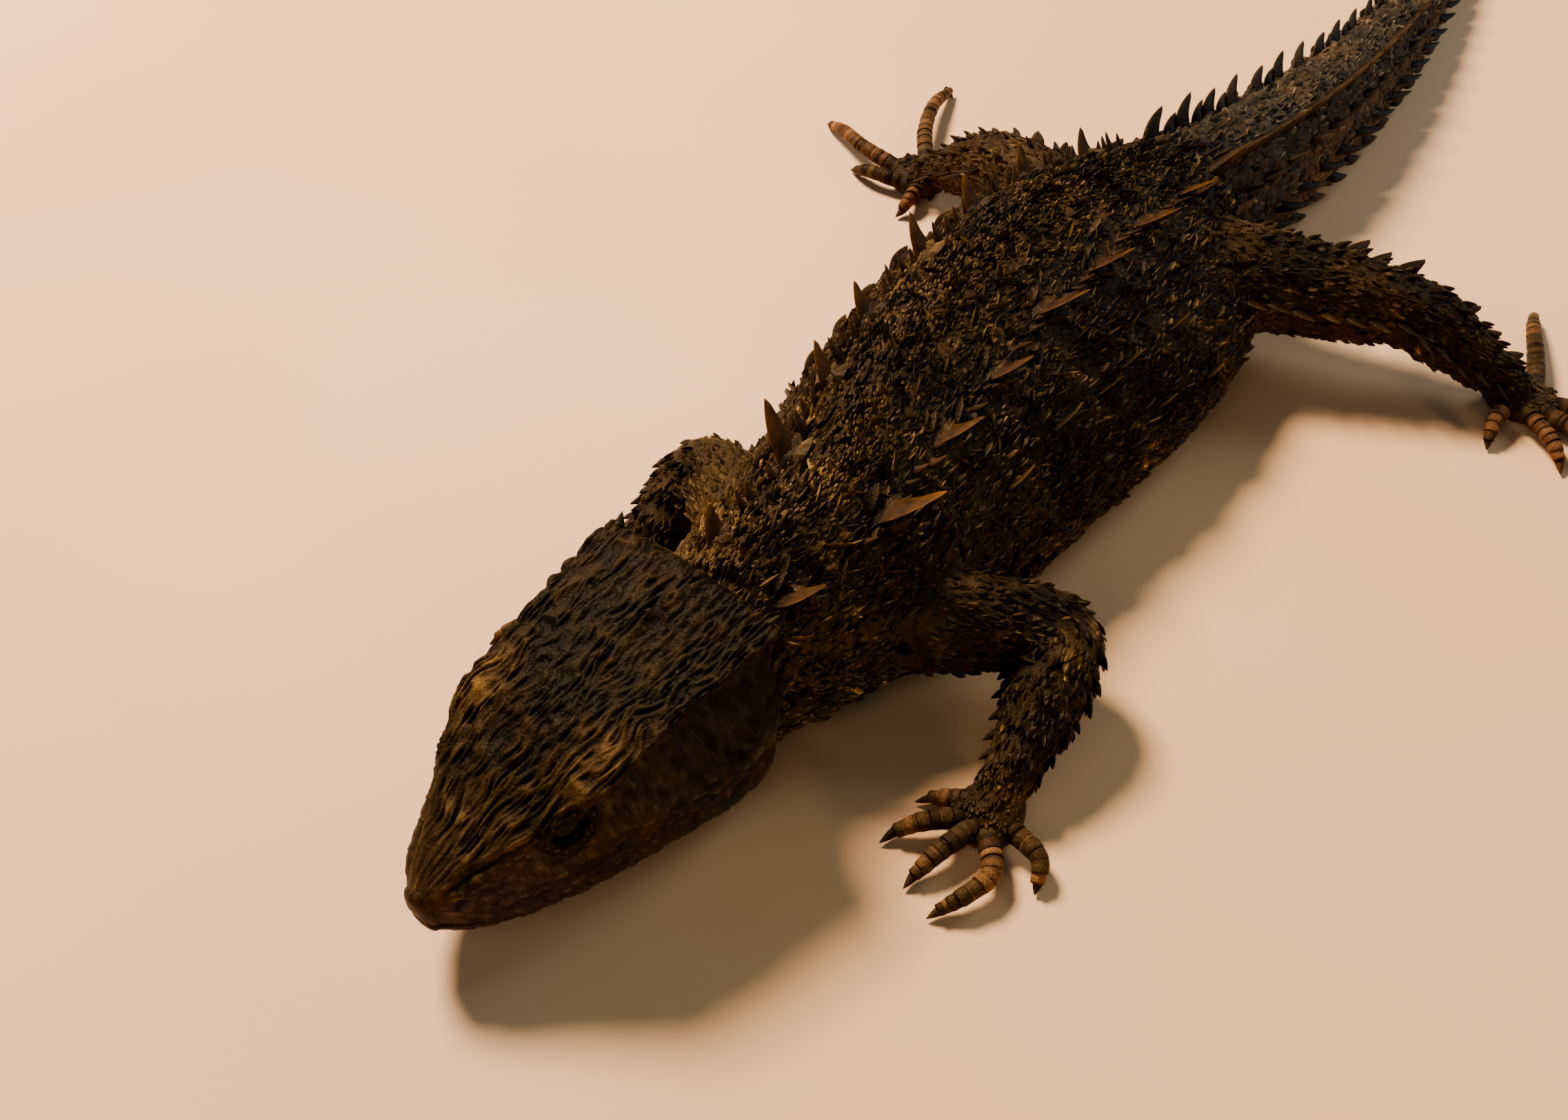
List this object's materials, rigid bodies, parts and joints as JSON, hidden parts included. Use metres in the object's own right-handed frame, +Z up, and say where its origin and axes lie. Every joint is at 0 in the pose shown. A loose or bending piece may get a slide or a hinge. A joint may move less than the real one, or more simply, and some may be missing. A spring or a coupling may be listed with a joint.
{
  "type": "white-eyed crocodile skink",
  "caption": "Still, life-size spiny lizard resting on its belly, with a wedge head and casque, finned back, plated tail and clawed feet.",
  "frame": {"origin": "on the flat of the belly, on the floor under the middle of the trunk", "axes": "+X along the body towards the head, +Y to the animal's left, +Z up"},
  "size_m": [0.182, 0.0856, 0.0183],
  "materials": {
    "head_skin": "satin, rugose horn-like scales, olive brown",
    "body_skin": "satin, keeled overlapping scales, near-black brown with ochre edges",
    "digit_skin": "satin, banded reddish-brown scales",
    "horn": "satin translucent horn of the fins and claws",
    "eye": "wet gloss, black"
  },
  "bodies": {
    "root": {"head": "head_skin", "lower_jaw": "head_skin", "eye_l": "eye", "eye_r": "eye", "neck": "body_skin", "chest": "body_skin", "belly": "body_skin", "rump": "body_skin", "tail_1": "body_skin", "tail_2": "body_skin", "tail_3": "body_skin", "tail_4": "body_skin", "upper_arm_l": "body_skin", "forearm_l": "body_skin", "hand_l": "digit_skin", "upper_arm_r": "body_skin", "forearm_r": "body_skin", "hand_r": "digit_skin", "thigh_l": "body_skin", "shank_l": "body_skin", "foot_l": "digit_skin", "thigh_r": "body_skin", "shank_r": "body_skin", "foot_r": "digit_skin"}
  },
  "joints": []
}
